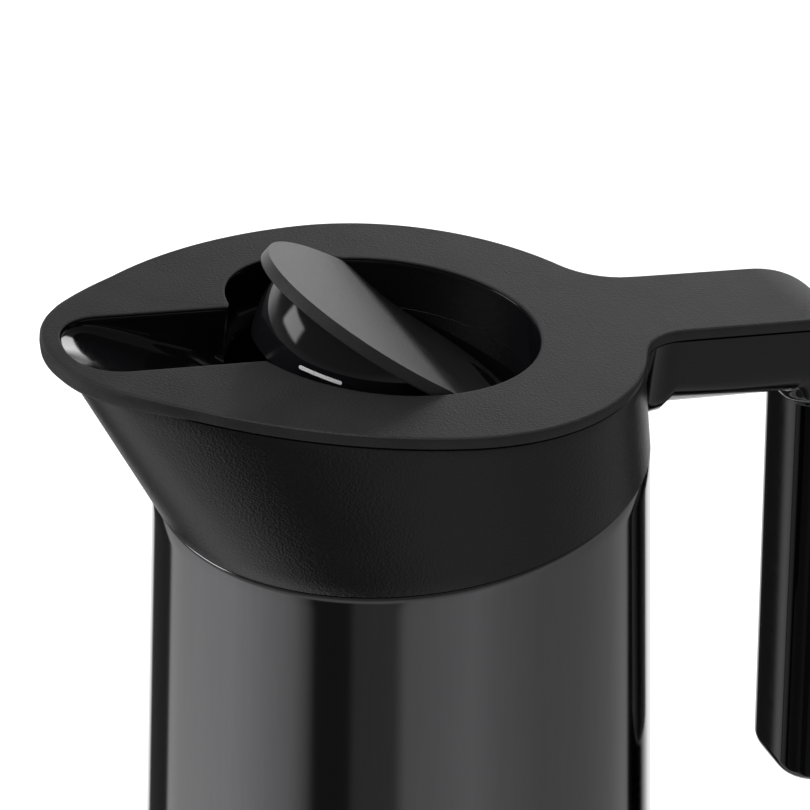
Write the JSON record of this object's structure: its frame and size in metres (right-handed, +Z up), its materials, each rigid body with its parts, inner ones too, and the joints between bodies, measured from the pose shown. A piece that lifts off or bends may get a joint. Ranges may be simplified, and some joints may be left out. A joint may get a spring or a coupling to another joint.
{
  "type": "thermal carafe",
  "caption": "Insulated steel carafe with a beaked moulded collar, an open-ended handle and a rocker flap lid in a lift-out closure.",
  "frame": {"origin": "centre of the foot pad's underside, on the steel body's axis, at the level of the table", "axes": "+Z up along the body's axis, -X towards the pouring beak, +X towards the handle, +Y towards the side with the finger scoop"},
  "size_m": [0.2083, 0.1344, 0.2443],
  "materials": {
    "shell_steel": "dark glossy tinted lacquer over polished steel",
    "flask_steel": "satin drawn steel",
    "solder": "dull solder",
    "matte_black": "fine matte moulding grain",
    "matte_grey": "fine matte moulding grain",
    "gloss_black": "polished moulding",
    "foot_rubber": "matte rubber",
    "silicone": "satin silicone",
    "screw_steel": "bright stainless"
  },
  "bodies": {
    "carafe": {"outer_shell": "shell_steel", "inner_flask": "flask_steel", "shell_bottom": "flask_steel", "getter_cup": "flask_steel", "vacuum_plug": "solder", "base_cap": "matte_black", "foot_pad": "foot_rubber", "collar": "matte_black", "top_plate": "matte_grey", "plate_screws": "screw_steel", "pour_channel": "gloss_black", "flask_gasket": "silicone", "neck_clamp": "matte_black", "neck_screws": "screw_steel", "handle_shell": "gloss_black", "handle_core": "screw_steel", "handle_screws": "screw_steel"},
    "closure": {"closure_housing": "gloss_black", "closure_plug": "gloss_black", "closure_gasket": "silicone", "closure_screws": "screw_steel", "hinge_pin": "screw_steel", "detent_spring": "screw_steel"},
    "flap": {"flap_cover": "matte_grey", "flap_skirt": "gloss_black", "flap_screws": "screw_steel", "flap_seal": "silicone", "seal_retainer": "screw_steel", "seal_screw": "screw_steel"}
  },
  "joints": [
    {"name": "closure_lift", "type": "slide", "parent": "carafe", "child": "closure", "axis": [0.1028, 0, 0.9947], "range_m": [0, 0.055]},
    {"name": "flap_rock", "type": "hinge", "parent": "closure", "child": "flap", "pos_m": [-0.0051, 0, 0.21888], "axis": [0, -1, 0], "range_deg": [0, 27.5]}
  ]
}
